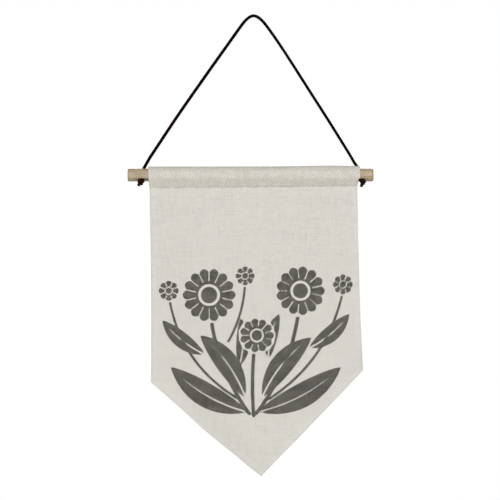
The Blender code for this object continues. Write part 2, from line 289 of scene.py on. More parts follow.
def blend(tree, share, first, second, kind="MIX"):
    """Output of a colour Mix node; a colour is three numbers or comes from a socket."""
    mix = node(tree, "ShaderNodeMix", data_type="RGBA", blend_type=kind, inputs={0: share})
    for socket, held in (("A", first), ("B", second)):
        if isinstance(held, bpy.types.NodeSocket):
            tree.links.new(held, mix.inputs[socket])
        else:
            mix.inputs[socket].default_value = (*held, 1.0)
    return mix.outputs["Result"]


def set_surface(tree, shader, colour, height, relief, roughness, specular=None):
    """Joins a colour and a relief, (strength, height in mm), to the shader and sets its gloss."""
    tree.links.new(colour, shader.inputs["Base Color"])
    settings = {"Strength": relief[0], "Distance": relief[1] * MM, "Height": height}
    bump = node(tree, "ShaderNodeBump", inputs=settings)
    tree.links.new(bump.outputs[0], shader.inputs["Normal"])
    shader.inputs["Roughness"].default_value = roughness
    if specular is not None:
        shader.inputs["Specular IOR Level"].default_value = specular


def cord_finish(name, valleys, crowns):
    """Waxed braid: two families of strands that cross, with painted shade darkening the valleys
    between them.
    """
    material, tree, shader = new_finish(name)
    tube = node(tree, "ShaderNodeUVMap", uv_map="cord").outputs[0]
    split = node(tree, "ShaderNodeSeparateXYZ", inputs={0: tube})
    turn = maths(tree, "MULTIPLY", split.outputs[0], BRAID_STRANDS)
    climb = maths(tree, "MULTIPLY", split.outputs[1], 1.0 / (BRAID_LAY * MM))
    left = maths(tree, "MULTIPLY", maths(tree, "ADD", turn, climb), math.tau)
    right = maths(tree, "MULTIPLY", maths(tree, "SUBTRACT", turn, climb), math.tau)
    braid = maths(tree, "MAXIMUM", maths(tree, "SINE", left), maths(tree, "SINE", right))
    crown = node(
        tree, "ShaderNodeMapRange", inputs={0: braid, 1: -0.6, 2: 1.0, 3: 0.0, 4: 1.0}
    ).outputs[0]
    colour = blend(tree, crown, valleys, crowns)
    set_surface(tree, shader, colour, crown, relief=(0.3, 0.1), roughness=0.8, specular=0.01)
    return material


route = smooth_route(CORD_ROUTE, CORD_STEP)
fullness_x, fullness = zip(*CORD_FULLNESS)
cord_radii = [
    0.5 * CORD_DIAMETER * float(np.interp(point.x, fullness_x, fullness)) for point in route
]
waxed_cord = cord_finish("waxed_brown_cord", *WAXED_BROWN)
cord = finish_piece("cord_over_hook", cord_tube(route, cord_radii), waxed_cord)
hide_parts("hanging_cord")

# ---------------------------------------------------------------- stopper knots
# Each end of the cord is tied in an overhand knot under the dowel and trimmed to a short tail.
# The knot is pulled tight, so the cord is squeezed thinner inside it.

# Place of the dowel's axis: (y, z). The holes and the knots are rolled forward about it, and the
# knot's middle and its first point lie this far from it.
DOWEL_AXIS = (-6.1, -149.0)
HOLE_ROLL = math.radians(38.0)
KNOT_ROLL = math.radians(42.0)
KNOT_STAND_OFF = 8.85
KNOT_START = 6.95
KNOT_STRAND = 2.6
TAIL_DIAMETER = 3.0
# Steps of the tail, counted from its end, and over how many of them it swells to its full width.
TAIL_STEPS = 12
TAIL_SWELL = 8.0
# The knot's line: its half height, where it starts and how far it turns, how far the strands close
# up around its middle as a share of a strand, and its steps, in number and then in length.
KNOT_HALF_HEIGHT = 1.4
KNOT_TURN = (math.radians(75.0), math.radians(345.0))
KNOT_EYE = 0.17
KNOT_STEPS = 90
KNOT_STEP = 0.35
# The knots' cord colours: painted shade in the braid's valleys, and a lighter brown on its crowns
# that is a painted highlight.
KNOT_PAINTED_HIGHLIGHT_BROWN = ((0.005, 0.0017, 0.0011), (0.024, 0.0088, 0.006))
# (name, node, x of the middle, x of the cord, half width, turn of the lobes, tail low and end)
KNOTS = (
    ("left_stopper_knot", "knot_left", -106.1, -104.6, 3.5, 12.0,
     (-107.5, -11.8, -157.2), (-108.5, -12.0, -159.3)),
    ("right_stopper_knot", "knot_right", 102.7, 99.95, 3.0, 0.0,
     (101.8, -12.0, -157.3), (101.2, -12.3, -160.1)),
)


def across_dowel(roll):
    """Unit vector across the dowel, from the lower front to the upper back."""
    return Vector((0.0, math.sin(roll), math.cos(roll)))


def knot_route(middle_x, cord_x, half_width, lobes, tail_low, tail_end):
    """Middle line of the knotted end: out of the hole, through three crossings, down the tail."""
    out = -across_dowel(KNOT_ROLL)
    side = Vector((1.0, 0.0, 0.0))
    up = out.cross(side)
    middle = Vector((middle_x, *DOWEL_AXIS)) + out * KNOT_STAND_OFF
    ring = 0.5 * half_width - KNOT_EYE * KNOT_STRAND
    wave = half_width - 0.5 * KNOT_STRAND - ring
    points = [Vector((cord_x, *DOWEL_AXIS)) - across_dowel(HOLE_ROLL) * KNOT_START]
    for step in range(KNOT_STEPS + 1):
        turn = KNOT_TURN[0] + KNOT_TURN[1] * step / KNOT_STEPS
        reach = ring + wave * math.cos(3.0 * turn)
        round_turn = 2.0 * turn + math.radians(lobes)
        flat = side * (reach * math.cos(round_turn)) + up * (reach * math.sin(round_turn))
        points.append(middle + flat + out * (KNOT_HALF_HEIGHT * math.sin(3.0 * turn)))
    points += [Vector(tail_low), Vector(tail_end)]
    return points


highlit_knot_cord = cord_finish("knot_cord_painted_highlight", *KNOT_PAINTED_HIGHLIGHT_BROWN)
for name, cad_knot, middle_x, cord_x, half_width, lobes, tail_low, tail_end in KNOTS:
    bends = knot_route(middle_x, cord_x, half_width, lobes, tail_low, tail_end)
    line = smooth_route(bends, KNOT_STEP)
    thin, full = 0.5 * KNOT_STRAND, 0.5 * TAIL_DIAMETER
    tail_start = len(line) - TAIL_STEPS
    swell = np.clip((np.arange(len(line)) - tail_start) / TAIL_SWELL, 0.0, 1.0)
    radii = [thin + (full - thin) * float(part) for part in swell]
    knot = finish_piece(name, cord_tube(line, radii), highlit_knot_cord)
    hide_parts(cad_knot)

# ---------------------------------------------------------------- dowel
# A round rod of light bare wood, sawn to length, its ends lightly sanded round. A hole for the cord
# is drilled through it near each end, and the rod lies rolled forward in its pocket.

DOWEL_DIAMETER = 12.0
DOWEL_SPAN = (-118.6, 112.7)
DOWEL_END_ROUNDING = (1.2, 1.9)
DOWEL_SIDES = 128
ROUNDING_STEPS = 6
HOLE_DIAMETER = 3.9
HOLE_SIDES = 48
HOLE_PLACES = (-104.5, 99.75)
DARK_GRAIN = (0.37, 0.28, 0.168)
LIGHT_GRAIN = (0.54, 0.435, 0.292)
GRAIN_RANGE = (0.34, 0.6)
# Scales of the fine streaks and the broad bands along, across and up the rod.
STREAKS = (95.0, 900.0, 900.0)
BANDS = (11.0, 260.0, 260.0)
# Shares of the tone kept: under painted shade along the underside, below and between two heights,
# and round the end rims, over a width.
UNDERSIDE_PAINTED_SHADE = (0.66, -155.0, -153.0)
END_RIMS = (0.78, 1.3)


def turned_rod(sides, radius, length):
    """Closed cylinder along +Z about the origin, in metres."""
    mesh = bmesh.new()
    bmesh.ops.create_cone(
        mesh,
        cap_ends=True,
        segments=sides,
        radius1=radius * MM,
        radius2=radius * MM,
        depth=length * MM,
    )
    return mesh


def ease(tree, value, low, high, start, end):
    """Output that goes smoothly from start to end while a value goes from low to high."""
    held = {0: value, 1: low, 2: high, 3: start, 4: end}
    return node(
        tree, "ShaderNodeMapRange", interpolation_type="SMOOTHSTEP", inputs=held
    ).outputs[0]


def noise(tree, place, scale, detail=2.0):
    """Output of one Noise Texture node, of grey about 0.5."""
    held = {0: place, "Scale": scale, "Detail": detail}
    return node(tree, "ShaderNodeTexNoise", inputs=held).outputs[0]


def stretch(tree, place, scales):
    """Place with a scale of its own for each axis, so that a pattern is drawn out."""
    return node(tree, "ShaderNodeMapping", inputs={0: place, "Scale": scales}).outputs[0]


def wood_finish():
    """Light close-grained wood: fine streaks along the rod and mottling on its ends."""
    material, tree, shader = new_finish("bare_light_wood")
    place = node(tree, "ShaderNodeTexCoord").outputs["Object"]
    fine = noise(tree, stretch(tree, place, STREAKS), 1.0, 5.0)
    bands = noise(tree, stretch(tree, place, BANDS), 1.0, 3.0)
    grain = node(tree, "ShaderNodeValToRGB", inputs={0: fine})
    stops = zip(grain.color_ramp.elements, GRAIN_RANGE, (DARK_GRAIN, LIGHT_GRAIN))
    for stop, position, colour in stops:
        stop.position = position
        stop.color = (*colour, 1.0)
    held = {0: bands, 1: 0.3, 2: 0.7, 3: 0.87, 4: 1.03}
    tone = node(tree, "ShaderNodeMapRange", inputs=held).outputs[0]
    # Painted shade darkens the rod along its underside; the sanded rims of its ends are darker too.
    split = node(tree, "ShaderNodeSeparateXYZ", inputs={0: place})
    kept, low, high = UNDERSIDE_PAINTED_SHADE
    under = ease(tree, split.outputs[2], low * MM, high * MM, kept, 1.0)
    middle = 0.5 * sum(DOWEL_SPAN) * MM
    half = 0.5 * (DOWEL_SPAN[1] - DOWEL_SPAN[0]) * MM
    from_middle = maths(tree, "ABSOLUTE", maths(tree, "SUBTRACT", split.outputs[0], middle))
    kept, width = END_RIMS
    rims = ease(tree, from_middle, half - width * MM, half, 1.0, kept)
    dark = maths(tree, "MULTIPLY", maths(tree, "MULTIPLY", under, rims), tone)
    colour = blend(tree, 1.0, grain.outputs[0], dark, "MULTIPLY")
    set_surface(tree, shader, colour, fine, relief=(0.12, 0.1), roughness=0.62)
    return material


rod = turned_rod(DOWEL_SIDES, 0.5 * DOWEL_DIAMETER, DOWEL_SPAN[1] - DOWEL_SPAN[0])
for side, rounding in zip((-1.0, 1.0), DOWEL_END_ROUNDING):
    rim = [e for e in rod.edges if all(v.co.z * side > 0.0 for v in e.verts)]
    bmesh.ops.bevel(
        rod,
        geom=rim,
        offset=rounding * MM,
        offset_type="OFFSET",
        segments=ROUNDING_STEPS,
        profile=0.5,
        affect="EDGES",
        material=-1,
    )
laid = Matrix.Translation(Vector((0.5 * sum(DOWEL_SPAN), *DOWEL_AXIS)) * MM)
laid = laid @ Matrix.Rotation(math.radians(90.0), 4, "Y")
bmesh.ops.transform(rod, verts=rod.verts, matrix=laid)
dowel = finish_piece("wooden_dowel", rod, wood_finish())
dowel.data.set_sharp_from_angle(angle=math.radians(40.0))
drills = []
for x in HOLE_PLACES:
    bit = turned_rod(HOLE_SIDES, 0.5 * HOLE_DIAMETER, 2.0 * DOWEL_DIAMETER)
    aim = Matrix.Translation(Vector((x, *DOWEL_AXIS)) * MM)
    bmesh.ops.transform(bit, verts=bit.verts, matrix=aim @ Matrix.Rotation(-HOLE_ROLL, 4, "X"))
    bit_data = bpy.data.meshes.new("drill")
    bit.to_mesh(bit_data)
    bit.free()
    drill = bpy.data.objects.new("drill", bit_data)
    scene.collection.objects.link(drill)
    cut = dowel.modifiers.new("hole", "BOOLEAN")
    cut.operation = "DIFFERENCE"
    cut.solver = "EXACT"
    cut.object = drill
    drills.append(drill)
bpy.context.view_layer.update()
graph = bpy.context.evaluated_depsgraph_get()
drilled = bpy.data.meshes.new_from_object(dowel.evaluated_get(graph))
dowel.modifiers.clear()
dowel.data = drilled
for drill in drills:
    bpy.data.objects.remove(drill)
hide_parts("dowel")

# ---------------------------------------------------------------- canvas
# One piece of plain-woven canvas. Its sides and its pointed lower edge are turned back in a narrow
# hem and stitched, and its top is turned back over the dowel and sewn down as the rod pocket.

CLOTH_THICKNESS = 0.5
# The front layer hangs this far ahead of the dowel's axis. The cloth goes round the dowel at this
# radius, and rises above it within this angle of the top.
FRONT_LAYER = 1.0
WRAP_RADIUS = 7.2
TOP_HALF_ANGLE = math.radians(52.0)
SEAM_ALLOWANCE = 7.0
# Step from the front layer to the turned-back one: pinched by the seam, and wider over the hems.
LAYER_STEP = 0.62
LAYER_STEP_AT_HEMS = 1.62
HEM_WIDTH = 7.2
HEM_STEP = 0.54
FINISHED_WIDTH = 200.0
# The side hems start this share of the panel's height above its corners, where they are mitred.
MITRE_SHARE = 0.075
# Drop of the lower edge for each millimetre across, left and right of the point.
LOWER_SLOPES = (0.85, 1.04)
HEM_RINGS = (0.0, 60.0, 120.0, 180.0)
COLUMNS = 176
PANEL_ROWS = 196
POCKET_ROWS = 36
ALLOWANCE_ROWS = 4
WRAP_STEPS = 61

# Heights of the pocket's crest and of its seam above the dowel's axis: (x, height).
POCKET_TOP = ((-99.0, 8.0), (-40.0, 8.05), (20.0, 8.1), (51.0, 8.55), (79.0, 8.85), (99.0, 8.5))
POCKET_SEAM = ((-98.0, -12.5), (0.0, -11.6), (98.0, -10.5))
# The pocket's two ends around the dowel: (degrees from the top, front positive, left x, right x).
POCKET_ENDS = (
    (-180.0, -98.0, 97.4),
    (-130.0, -98.8, 98.0),
    (-90.0, -99.0, 98.2),
    (-62.0, -99.0, 96.6),
    (-28.0, -99.0, 96.6),
    (-10.0, -99.1, 99.2),
    (8.0, -99.2, 99.8),
    (60.0, -99.4, 100.4),
    (110.0, -99.3, 100.3),
    (122.0, -99.1, 99.2),
    (133.0, -99.0, 98.4),
    (147.0, -98.8, 98.4),
    (180.0, -98.0, 97.6),
)
# The panel's side edges: (z, x).
PANEL_LEFT = (
    (-344.6, -96.8),
    (-323.0, -96.6),
    (-278.0, -96.5),
    (-233.0, -96.8),
    (-199.0, -97.4),
    (-161.0, -98.0),
)
PANEL_RIGHT = (
    (-332.9, 103.0),
    (-312.0, 102.0),
    (-289.0, 100.75),
    (-267.0, 100.0),
    (-233.0, 99.0),
    (-199.0, 98.2),
    (-161.0, 97.6),
)
LEFT_CORNER = (-96.8, -344.6)
POINT = (7.0, -432.8)
RIGHT_CORNER = (103.0, -333.0)
# How far the lower edge sags below the straight lines between those: (x, sag).
LOWER_EDGE_SAG = (
    (-96.8, 0.0),
    (-80.0, 0.2),
    (-62.0, 0.9),
    (-50.0, 2.0),
    (-33.0, 1.8),
    (-16.0, 0.85),
    (-5.0, 0.8),
    (7.0, 0.0),
    (25.0, -0.1),
    (45.0, 0.45),
    (80.0, 0.5),
    (103.0, 0.2),
)
# The folded edges are round, so the cloth's middle surface turns back a little inside the outline.
FOLD_INSET = 0.5
# Soft folds of the hanging panel: (upper x, z, lower x, z, half width, depth towards the wall).
FOLDS = (
    (4.0, -215.0, 14.0, -350.0, 62.0, -1.6),
    (-80.0, -200.0, -84.0, -335.0, 13.0, 0.6),
    (-34.0, -170.0, -40.0, -300.0, 12.0, 0.4),
    (66.0, -185.0, 74.0, -320.0, 15.0, 0.6),
    (-30.0, -345.0, 2.0, -425.0, 16.0, -0.9),
)
# Edges that curl towards the wall, as (depth, reach in from the edge): the lower left edge more
# and more towards the point, the right side just above its corner, and the left side.
POINT_CURL = (4.4, 36.0)
POINT_CURL_RANGE = (0.08, 0.6)
CORNER_CURL = (2.5, 10.0)
CORNER_CURL_RANGE = (-345.0, -325.0, -318.0, -300.0)
LEFT_ROLL = (0.5, 4.0)
# The panel is held flat down to the first of these drops and hangs free from the second.
PANEL_FREE_RANGE = (162.0, 205.0)


def read_table(table, at, column=1):
    """Value of a short table at a place, on straight lines between its rows."""
    return float(np.interp(at, [row[0] for row in table], [row[column] for row in table]))


def smooth_step(low, high, value):
    part = min(max((value - low) / (high - low), 0.0), 1.0)
    return part * part * (3.0 - 2.0 * part)


def lower_edge(x):
    """Height of the folded lower edge at a place across the panel."""
    return read_table((LEFT_CORNER, POINT, RIGHT_CORNER), x) - read_table(LOWER_EDGE_SAG, x)


def distance_to_line(x, z, start, end):
    """Distance from a place to the stretch between two points, and how far along it."""
    along_x, along_z = end[0] - start[0], end[1] - start[1]
    part = ((x - start[0]) * along_x + (z - start[1]) * along_z) / (along_x**2 + along_z**2)
    part = min(max(part, 0.0), 1.0)
    return math.hypot(x - start[0] - part * along_x, z - start[1] - part * along_z), part


def hang_depth(x, z):
    """How far the panel stands towards the wall from its hanging plane."""
    depth = 0.0
    for upper_x, upper_z, lower_x, lower_z, half_width, fold_depth in FOLDS:
        away, _ = distance_to_line(x, z, (upper_x, upper_z), (lower_x, lower_z))
        depth += fold_depth * math.exp(-((away / half_width) ** 2))
    curl, reach = POINT_CURL
    away, part = distance_to_line(x, z, LEFT_CORNER, POINT)
    depth += curl * smooth_step(*POINT_CURL_RANGE, part) * max(0.0, 1.0 - away / reach) ** 2
    curl, reach = CORNER_CURL
    low, low_full, high_full, high = CORNER_CURL_RANGE
    inside = max(0.0, 1.0 - (read_table(PANEL_RIGHT, z) - x) / reach)
    depth += curl * inside**2 * smooth_step(low, low_full, z) * smooth_step(-high, -high_full, -z)
    curl, reach = LEFT_ROLL
    inside = max(0.0, 1.0 - (x - read_table(PANEL_LEFT, z)) / reach)
    depth += curl * inside**2
    return depth * smooth_step(*PANEL_FREE_RANGE, -z)


def pocket_section(x, step):
    """The pocket around the dowel at a place: (angle from the top, y, z, length from the seam)."""
    seam = read_table(POCKET_SEAM, x)
    layers = (FRONT_LAYER, step - FRONT_LAYER)
    leaves = [
        math.acos(-WRAP_RADIUS / math.hypot(out, seam)) - math.atan(out / -seam) for out in layers
    ]
    crest = read_table(POCKET_TOP, x) - 0.5 * CLOTH_THICKNESS - WRAP_RADIUS

    def around(angle):
        rise = max(0.0, 1.0 - (angle / TOP_HALF_ANGLE) ** 2) ** 2
        radius = WRAP_RADIUS + crest * rise
        return math.degrees(angle), -radius * math.sin(angle), radius * math.cos(angle)

    wrapped = np.linspace(leaves[0], -leaves[1], WRAP_STEPS)
    points = [(180.0, -layers[0], seam)]
    points += [around(angle) for angle in wrapped]
    points += [(-180.0, layers[1], seam)]
    lengths = [0.0]
    for (_, y, z), (_, next_y, next_z) in zip(points, points[1:]):
        lengths.append(lengths[-1] + math.hypot(next_y - y, next_z - z))
    return [(*point, length) for point, length in zip(points, lengths)]


# Mean cosine of the lower edge's slope, which turns a drop into a distance from that edge.
LOWER_EDGE_COSINE = 0.74
TIP_FRACTION = (POINT[0] - LEFT_CORNER[0]) / (RIGHT_CORNER[0] - LEFT_CORNER[0])


class Cloth:
    """Where a place of the flat cloth comes to lie in the hanging banner.

    A place is a fraction across, from 0 at the left fold to 1 at the right fold, and a row: 0 to 1
    up the panel, 1 to 2 around the pocket from front to back, 2 to 3 down the seam allowance.
    """

    def __init__(self):
        self.sections = {}

    def section(self, fraction):
        key = round(fraction, 5)
        if key not in self.sections:
            x = LEFT_CORNER[0] + fraction * (RIGHT_CORNER[0] - LEFT_CORNER[0])
            from_side = min(fraction, 1.0 - fraction) * (RIGHT_CORNER[0] - LEFT_CORNER[0])
            spread = smooth_step(HEM_WIDTH + 5.0, HEM_WIDTH - 1.0, from_side)
            step = LAYER_STEP + (LAYER_STEP_AT_HEMS - LAYER_STEP) * spread
            self.sections[key] = (x, step, np.array(pocket_section(x, step)))
        return self.sections[key]

    def between(self, fraction, left, right):
        return left + FOLD_INSET + fraction * (right - left - 2.0 * FOLD_INSET)

    def across(self, fraction, z):
        return self.between(fraction, read_table(PANEL_LEFT, z), read_table(PANEL_RIGHT, z))

    def place(self, fraction, row):
        """Point of the cloth's middle surface and its place on the flat cloth, both in mm."""
        base_x, step, pocket = self.section(fraction)
        seam_z = DOWEL_AXIS[1] + pocket[0][2]
        if row <= 1.0:
            bottom = lower_edge(base_x) + FOLD_INSET / LOWER_EDGE_COSINE
            z = bottom + (seam_z - bottom) * row
            x = self.across(fraction, z)
            y = DOWEL_AXIS[0] - FRONT_LAYER + hang_depth(x, z)
            return Vector((x, y, z)), (x, z)
        girth = pocket[-1][3]
        if row <= 2.0:
            length = (row - 1.0) * girth
            angle, y, z = (np.interp(length, pocket[:, 3], pocket[:, i]) for i in range(3))
            ends = (read_table(POCKET_ENDS, angle, column) for column in (1, 2))
            x = self.between(fraction, *ends)
            return Vector((x, DOWEL_AXIS[0] + y, DOWEL_AXIS[1] + z)), (x, seam_z + length)
        drop = (row - 2.0) * SEAM_ALLOWANCE
        x = self.across(fraction, seam_z - drop)
        y = DOWEL_AXIS[0] - FRONT_LAYER + step
        return Vector((x, y, seam_z - drop)), (x, seam_z + girth + drop)

    def outward(self, fraction, row):
        """Unit vector out of the cloth's printed side."""
        nudge = 0.004
        left, right = max(fraction - nudge, 0.0), min(fraction + nudge, 1.0)
        low, high = max(row - nudge, 0.0), min(row + nudge, 3.0)
        across = self.place(right, row)[0] - self.place(left, row)[0]
        up = self.place(fraction, high)[0] - self.place(fraction, low)[0]
        return across.cross(up).normalized()


cloth = Cloth()
grid = bmesh.new()
rows = PANEL_ROWS + POCKET_ROWS + ALLOWANCE_ROWS
bmesh.ops.create_grid(grid, x_segments=COLUMNS, y_segments=rows, size=0.5)
fraction_of = grid.verts.layers.float.new("fraction")
row_of = grid.verts.layers.float.new("row")
flat_x = grid.verts.layers.float.new("flat_x")
flat_z = grid.verts.layers.float.new("flat_z")
for vert in grid.verts:
    a, b = vert.co.x + 0.5, (vert.co.y + 0.5) * rows
    if a <= 0.5:
        vert[fraction_of] = 2.0 * a * TIP_FRACTION
    else:
        vert[fraction_of] = TIP_FRACTION + (2.0 * a - 1.0) * (1.0 - TIP_FRACTION)
    if b <= PANEL_ROWS:
        vert[row_of] = b / PANEL_ROWS
    elif b <= PANEL_ROWS + POCKET_ROWS:
        vert[row_of] = 1.0 + (b - PANEL_ROWS) / POCKET_ROWS
    else:
        vert[row_of] = 2.0 + (b - PANEL_ROWS - POCKET_ROWS) / ALLOWANCE_ROWS
    place, flat = cloth.place(vert[fraction_of], vert[row_of])
    vert.co = place * MM
    vert[flat_x], vert[flat_z] = flat

# The hem: the folded edge is pushed out round the fold and then laid back behind the cloth.
hem_edges = [
    e for e in grid.edges if e.is_boundary and not all(v[row_of] > 2.9999 for v in e.verts)
]


def panel_height(fraction):
    """Flat height of the panel from its lower edge to the seam."""
    return cloth.place(fraction, 1.0)[1][1] - cloth.place(fraction, 0.0)[1][1]


def hem_landing(fraction, row):
    """Where a folded edge's cut end comes to lie, as a fraction and a row of the cloth."""
    side_inset = HEM_WIDTH / FINISHED_WIDTH
    if fraction < 1e-5 or fraction > 1.0 - 1e-5:
        if row < 1.0:
            row = MITRE_SHARE + row * (1.0 - MITRE_SHARE)
        return side_inset if fraction < 0.5 else 1.0 - side_inset, row
    slope = LOWER_SLOPES[0] if fraction < TIP_FRACTION else LOWER_SLOPES[1]
    lift = HEM_WIDTH * math.hypot(1.0, slope) / panel_height(fraction)
    return side_inset + fraction * (1.0 - 2.0 * side_inset), lift


ring_edges = hem_edges
for angle in HEM_RINGS[1:] + ("laid",):
    made = bmesh.ops.extrude_edge_only(grid, edges=ring_edges)["geom"]
    verts = [g for g in made if isinstance(g, bmesh.types.BMVert)]
    fresh = set(verts)
    ring_edges = [
        g for g in made if isinstance(g, bmesh.types.BMEdge) and all(v in fresh for v in g.verts)
    ]
    for vert in verts:
        fraction, row = vert[fraction_of], vert[row_of]
        edge, edge_flat = cloth.place(fraction, row)
        landing = hem_landing(fraction, row)
        inner, inner_flat = cloth.place(*landing)
        if angle == "laid":
            vert.co = (inner - cloth.outward(*landing) * HEM_STEP) * MM
            vert[flat_x] = 2.0 * edge_flat[0] - inner_flat[0]
            vert[flat_z] = 2.0 * edge_flat[1] - inner_flat[1]
        else:
            turn = math.radians(angle)
            swing = (edge - inner).normalized() * math.sin(turn)
            swing -= cloth.outward(fraction, row) * (1.0 - math.cos(turn))
            vert.co = (edge + swing * (0.5 * HEM_STEP)) * MM

# Flat places become the cloth's map, in metres.
cloth_map = grid.loops.layers.uv.new("cloth")
for face in grid.faces:
    for loop in face.loops:
        loop[cloth_map].uv = (loop.vert[flat_x] * MM, loop.vert[flat_z] * MM)


# The print: meadow flowers in silhouette, in one dull ink. A shape's ink is a field over the flat
# cloth, positive inside it and about the distance to its edge in millimetres.
# Stems: (foot, top, half width, bend)
STEMS = (
    ((-4.0, -374.0), (-42.0, -262.0), 1.8, 9.0),
    ((2.0, -374.0), (44.0, -256.0), 1.8, -10.0),
    ((0.0, -376.0), (2.0, -300.0), 1.7, 2.0),
    ((-14.0, -360.0), (-80.0, -262.0), 1.3, 14.0),
    ((14.0, -360.0), (84.0, -258.0), 1.3, -13.0),
    ((-24.0, -306.0), (-8.0, -246.0), 1.2, -4.0),
)
# Leaves: (base, tip, half width, bend)
LEAVES = (
    ((-6.0, -372.0), (-78.0, -330.0), 11.5, 6.0),
    ((4.0, -372.0), (82.0, -330.0), 11.5, -6.0),
    ((-8.0, -358.0), (-50.0, -300.0), 10.5, -5.0),
    ((8.0, -358.0), (54.0, -302.0), 10.5, 5.0),
    ((-46.0, -318.0), (-86.0, -286.0), 7.5, 3.0),
    ((52.0, -312.0), (90.0, -280.0), 7.5, -3.0),
    ((-14.0, -330.0), (-12.0, -284.0), 6.5, -3.0),
    ((14.0, -322.0), (24.0, -280.0), 6.5, 3.0),
)
# A leaf's bare rib: its half width, how far along the leaf it runs, from -1 to 1, and its taper.
LEAF_RIB = 0.75
LEAF_RIB_END = 0.66
LEAF_RIB_TAPER = 0.4
LEAF_FULLNESS = 0.85
# Flower heads: (centre, radius, petals)
FLOWER_HEADS = (
    ((-42.0, -262.0), 25.0, 14),
    ((44.0, -258.0), 23.0, 13),
    ((3.0, -300.0), 16.0, 11),
    ((-80.0, -258.0), 9.5, 8),
    ((84.0, -252.0), 9.5, 8),
    ((-8.0, -244.0), 9.0, 8),
)
# Shares of a head's radius: the rounding of its petals, where the lines between them begin, and
# the bare ring round its heart, as radius and half width. The clear rim around a head is in mm.
PETAL_ROUNDING = 0.14
PETAL_LINES_FROM = 0.5
HEART_RING = (0.36, 0.05)
PETAL_LINE = 0.7
PETAL_LINE_TAPER = 2.8
CLEAR_RIM = 1.6
# Field values that stand for far outside any ink and well inside it.
NO_INK = -50.0
FULL_INK = 5.0


def along_and_off(x, z, base, tip, bend):
    """Place along a bent line, from -1 to 1, the distance off it and its half length, in mm."""
    reach = np.array(tip) - np.array(base)
    half = 0.5 * np.hypot(*reach)
    unit = reach / (2.0 * half)
    middle = 0.5 * (np.array(tip) + np.array(base))
    p = ((x - middle[0]) * unit[0] + (z - middle[1]) * unit[1]) / half
    q = (x - middle[0]) * -unit[1] + (z - middle[1]) * unit[0]
    return p, np.abs(q - bend * (1.0 - p * p)), half


def stem(x, z, base, tip, half_width, bend):
    p, off, half = along_and_off(x, z, base, tip, bend)
    return half_width - off - half * np.clip(np.abs(p) - 1.0, 0.0, None)


def leaf(x, z, base, tip, half_width, bend):
    """Leaf with a bare rib that runs out before the tip."""
    p, off, half = along_and_off(x, z, base, tip, bend)
    width = half_width * np.clip(1.0 - p * p, 0.0, None) ** LEAF_FULLNESS
    blade = width - off - half * np.clip(np.abs(p) - 1.0, 0.0, None)
    left_over = np.clip(1.0 - (p + 1.0) / (1.0 + LEAF_RIB_END), 0.0, 1.0)
    rib = LEAF_RIB * left_over**LEAF_RIB_TAPER
    return np.minimum(blade, np.where(p < LEAF_RIB_END, off - rib, FULL_INK))


def flower(x, z, centre, radius, petals):
    """Flower head: round petals parted by bare lines, around a ringed heart."""
    away = np.hypot(x - centre[0], z - centre[1])
    turn = np.arctan2(z - centre[1], x - centre[0])
    wave = np.abs(np.cos(0.5 * petals * turn))
    rim = radius * (1.0 - PETAL_ROUNDING + PETAL_ROUNDING * wave)
    line = wave * away * (PETAL_LINE_TAPER / petals) - PETAL_LINE
    head = np.minimum(rim - away, np.where(away > PETAL_LINES_FROM * radius, line, FULL_INK))
    ring_radius, ring_width = HEART_RING
    return np.minimum(head, np.abs(away - ring_radius * radius) - ring_width * radius)


def printed(x, z):
    """The whole print's ink at flat places: each head clears its ground of stems and leaves."""
    ink = np.full_like(x, NO_INK)
    for row in STEMS:
        ink = np.maximum(ink, stem(x, z, *row))
    for row in LEAVES:
        ink = np.maximum(ink, leaf(x, z, *row))
    for centre, radius, petals in FLOWER_HEADS:
        ground = radius + CLEAR_RIM - np.hypot(x - centre[0], z - centre[1])
        ink = np.where(ground > 0.0, np.minimum(ink, -ground), ink)
        ink = np.maximum(ink, flower(x, z, centre, radius, petals))
    return ink


# What the finish reads at each place: the ink's field, 1 where the cloth goes round the dowel, and
# the distances from the folded outline and up from the seam in millimetres.
ink_layer = grid.verts.layers.float.new("ink")
ply_layer = grid.verts.layers.float.new("plies")
edge_layer = grid.verts.layers.float.new("from_edge")
seam_layer = grid.verts.layers.float.new("from_seam")
FAR_FROM_SEAM = 50.0
PLY_BLEND = 0.015
flat_xs = np.array([v[flat_x] for v in grid.verts])
flat_zs = np.array([v[flat_z] for v in grid.verts])
for vert, field in zip(grid.verts, printed(flat_xs, flat_zs)):
    vert[ink_layer] = field
    x, z, row = vert[flat_x], vert[flat_z], vert[row_of]
    front, back = (smooth_step(at - PLY_BLEND, at + PLY_BLEND, row) for at in (1.0, 2.0))
    vert[ply_layer] = front * (1.0 - back)
    from_side = min(x - read_table(PANEL_LEFT, z), read_table(PANEL_RIGHT, z) - x)
    from_lower_edge = (z - lower_edge(x)) * LOWER_EDGE_COSINE
    vert[edge_layer] = abs(min(from_side, from_lower_edge))
    seam_z = DOWEL_AXIS[1] + read_table(POCKET_SEAM, x)
    vert[seam_layer] = z - seam_z if row < 1.5 else FAR_FROM_SEAM


# The weave: millimetres from warp to warp and from weft to weft, how many threads they wander, and
# how fast a yarn's tone and its slubs change along it, by the metre.
THREAD_PITCH = (1.36, 1.42)
THREAD_WANDER = 0.9
YARN_CHANGE, SLUB_CHANGE = 90.0, 26.0
SLUB_RANGE = (0.56, 0.68)
# How far the tone changes with the yarn, with each crown, from warp to weft, and by painted shade
# into the gaps.
YARN_TONE, RISE_TONE, OVER_TONE, HOLLOW_PAINTED_SHADE = 0.14, 0.04, 0.068, 0.08
SLUB_TONE = 0.042
